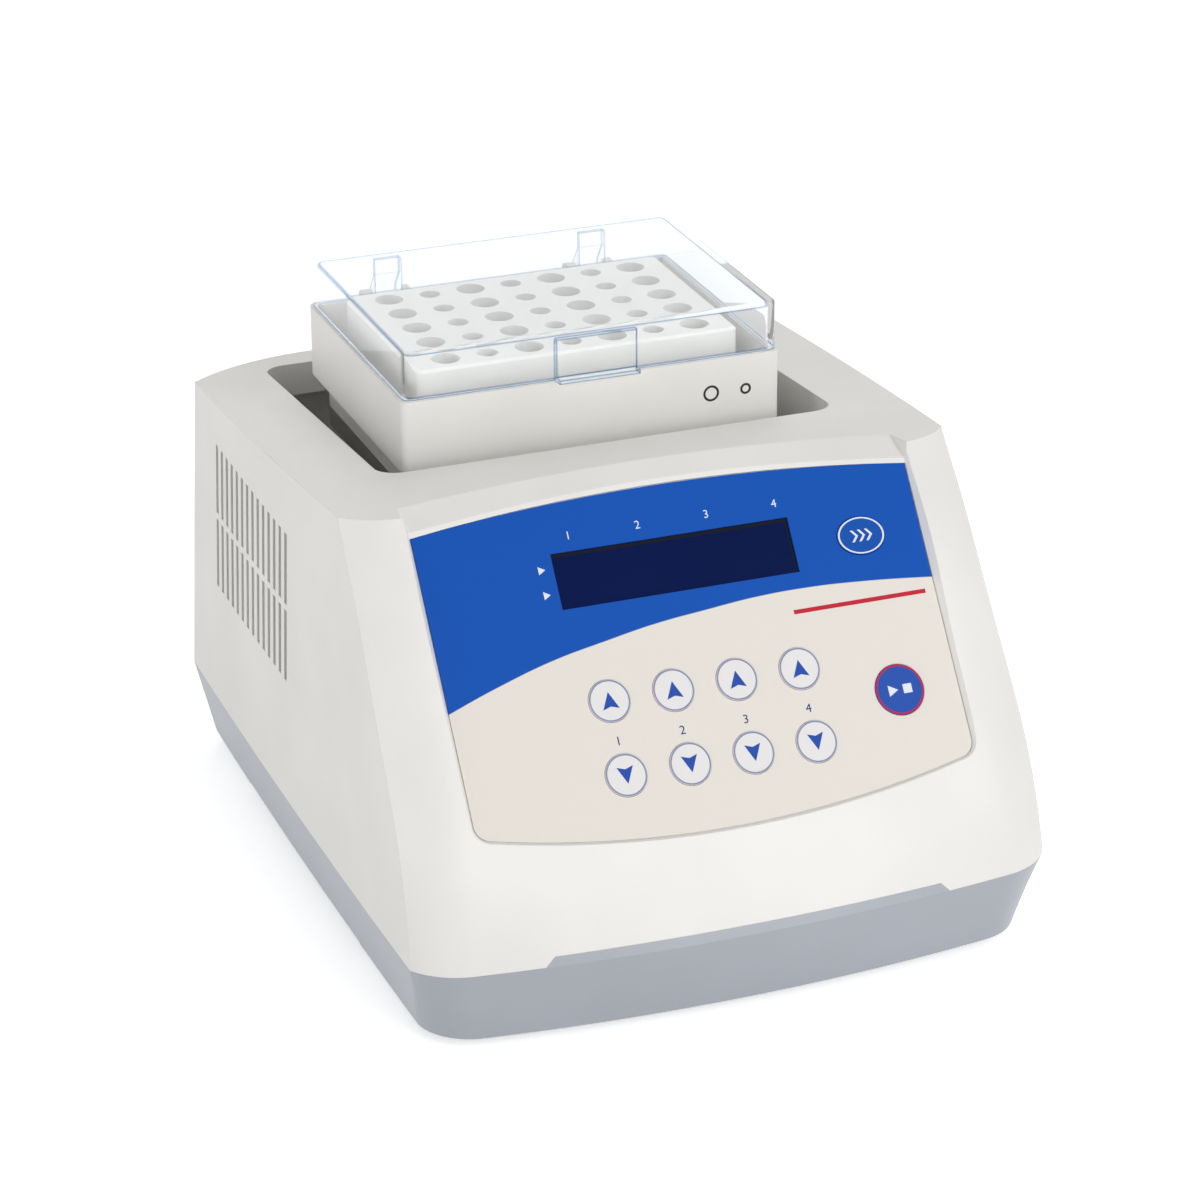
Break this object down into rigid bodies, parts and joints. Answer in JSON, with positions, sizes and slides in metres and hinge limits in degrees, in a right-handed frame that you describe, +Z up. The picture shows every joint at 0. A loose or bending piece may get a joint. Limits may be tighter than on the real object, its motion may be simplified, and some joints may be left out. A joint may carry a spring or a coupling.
{
  "type": "thermal mixer",
  "caption": "Bench thermal mixer: sloped keypad housing over a grey tray, with an orbiting tub, a drilled heating block and a clear hinged lid.",
  "frame": {"origin": "middle of the footprint, at the height that the feet stand on", "axes": "+Z up; the keypad faces -Y; +X is to the right of someone who faces the keypad"},
  "size_m": [0.2474, 0.3166, 0.208],
  "materials": {
    "housing_white": "fine moulded grain, painted off-white",
    "tray_grey": "fine moulded grain, blue-grey",
    "rubber_black": "matt",
    "zinc_steel": "zinc plated",
    "overlay_film": "printed polyester film, satin",
    "window_navy": "tinted window",
    "dark_plastic": "moulded, black",
    "circuit_board": "solder mask",
    "bracket_steel": "galvanised sheet",
    "motor_black": "black enamel",
    "ptfe_white": "low-friction plastic",
    "pin_brass": "tin-plated",
    "supply_case": "folded sheet",
    "heatsink_black": "black anodised",
    "capacitor_sleeve": "shrink sleeve",
    "ground_steel": "ground",
    "bearing_chrome": "hardened and ground",
    "plate_aluminium": "machined",
    "tub_grey": "fine moulded grain, light grey",
    "pad_rubber": "silicone sponge",
    "block_aluminium": "pale coated aluminium",
    "lid_clear": "clear moulded polycarbonate",
    "key_white": "printed film, satin",
    "key_blue": "printed film, satin"
  },
  "bodies": {
    "case": {"upper_housing": "housing_white", "base_tray": "tray_grey", "rubber_feet": "rubber_black", "case_screws": "zinc_steel", "keypad_overlay": "overlay_film", "lcd_window": "window_navy", "lcd_module": "dark_plastic", "control_board": "circuit_board", "tactile_switches": "dark_plastic", "board_screws": "zinc_steel", "motor_bracket": "bracket_steel", "bracket_screws": "zinc_steel", "motor_body": "motor_black", "motor_screws": "zinc_steel", "glide_posts": "zinc_steel", "glide_pads": "ptfe_white", "fan_frame": "dark_plastic", "fan_screws": "zinc_steel", "power_inlet": "dark_plastic", "inlet_pins": "pin_brass", "inlet_screws": "zinc_steel", "switch_bezel": "dark_plastic", "power_supply": "supply_case", "driver_board": "circuit_board", "driver_heatsink": "heatsink_black", "capacitors": "capacitor_sleeve", "floor_screws": "zinc_steel"},
    "crank": {"motor_shaft": "ground_steel", "eccentric_flywheel": "ground_steel", "counterweight": "ground_steel", "bearing_inner_ring": "bearing_chrome"},
    "platform": {"bearing_outer_ring": "bearing_chrome", "shaking_plate": "plate_aluminium", "tub": "tub_grey", "tub_screws": "zinc_steel", "insulation_pad": "pad_rubber", "heater_plate": "plate_aluminium", "heating_block": "block_aluminium", "temperature_sensor": "ground_steel", "hinge_pins": "ground_steel"},
    "lid": {"lid": "lid_clear"},
    "rocker": {"switch_rocker": "dark_plastic"},
    "fan": {"fan_rotor": "dark_plastic"},
    "step_up_key": {"step_up_key": "key_white"},
    "temperature_up_key": {"temperature_up_key": "key_white"},
    "speed_up_key": {"speed_up_key": "key_white"},
    "time_up_key": {"time_up_key": "key_white"},
    "step_down_key": {"step_down_key": "key_white"},
    "temperature_down_key": {"temperature_down_key": "key_white"},
    "speed_down_key": {"speed_down_key": "key_white"},
    "time_down_key": {"time_down_key": "key_white"},
    "start_stop_key": {"start_stop_key": "key_blue"},
    "pulse_key": {"pulse_key": "key_blue"}
  },
  "joints": [
    {"name": "drive_spin", "type": "hinge", "parent": "case", "child": "crank", "pos_m": [0.0015, 0.0575, 0.115], "axis": [0, 0, 1], "continuous": true},
    {"name": "platform_orbit", "type": "hinge", "parent": "crank", "child": "platform", "pos_m": [0, 0.0575, 0.1316], "axis": [0, 0, 1], "continuous": true},
    {"name": "lid_hinge", "type": "hinge", "parent": "platform", "child": "lid", "pos_m": [0, 0.1193, 0.1853], "axis": [-1, 0, 0], "range_deg": [0, 100]},
    {"name": "rocker_tilt", "type": "hinge", "parent": "case", "child": "rocker", "pos_m": [0.025, 0.1512, 0.066], "axis": [1, 0, 0], "range_deg": [0, 16]},
    {"name": "fan_spin", "type": "hinge", "parent": "case", "child": "fan", "pos_m": [-0.079, 0.0575, 0.062], "axis": [1, 0, 0], "continuous": true},
    {"name": "step_up_key_press", "type": "slide", "parent": "case", "child": "step_up_key", "axis": [0, 0.8018, -0.5976], "range_m": [0, 0.0004], "stiffness_N_per_m": 2500, "springref_m": -0.0002},
    {"name": "temperature_up_key_press", "type": "slide", "parent": "case", "child": "temperature_up_key", "axis": [0, 0.8018, -0.5976], "range_m": [0, 0.0004], "stiffness_N_per_m": 2500, "springref_m": -0.0002},
    {"name": "speed_up_key_press", "type": "slide", "parent": "case", "child": "speed_up_key", "axis": [0, 0.8018, -0.5976], "range_m": [0, 0.0004], "stiffness_N_per_m": 2500, "springref_m": -0.0002},
    {"name": "time_up_key_press", "type": "slide", "parent": "case", "child": "time_up_key", "axis": [0, 0.8018, -0.5976], "range_m": [0, 0.0004], "stiffness_N_per_m": 2500, "springref_m": -0.0002},
    {"name": "step_down_key_press", "type": "slide", "parent": "case", "child": "step_down_key", "axis": [0, 0.8018, -0.5976], "range_m": [0, 0.0004], "stiffness_N_per_m": 2500, "springref_m": -0.0002},
    {"name": "temperature_down_key_press", "type": "slide", "parent": "case", "child": "temperature_down_key", "axis": [0, 0.8018, -0.5976], "range_m": [0, 0.0004], "stiffness_N_per_m": 2500, "springref_m": -0.0002},
    {"name": "speed_down_key_press", "type": "slide", "parent": "case", "child": "speed_down_key", "axis": [0, 0.8018, -0.5976], "range_m": [0, 0.0004], "stiffness_N_per_m": 2500, "springref_m": -0.0002},
    {"name": "time_down_key_press", "type": "slide", "parent": "case", "child": "time_down_key", "axis": [0, 0.8018, -0.5976], "range_m": [0, 0.0004], "stiffness_N_per_m": 2500, "springref_m": -0.0002},
    {"name": "start_stop_key_press", "type": "slide", "parent": "case", "child": "start_stop_key", "axis": [0, 0.8018, -0.5976], "range_m": [0, 0.0004], "stiffness_N_per_m": 2500, "springref_m": -0.0002},
    {"name": "pulse_key_press", "type": "slide", "parent": "case", "child": "pulse_key", "axis": [0, 0.8018, -0.5976], "range_m": [0, 0.0004], "stiffness_N_per_m": 2500, "springref_m": -0.0002}
  ],
  "couplings": [
    {"joint": "platform_orbit", "follows": "drive_spin", "ratio": -1}
  ]
}
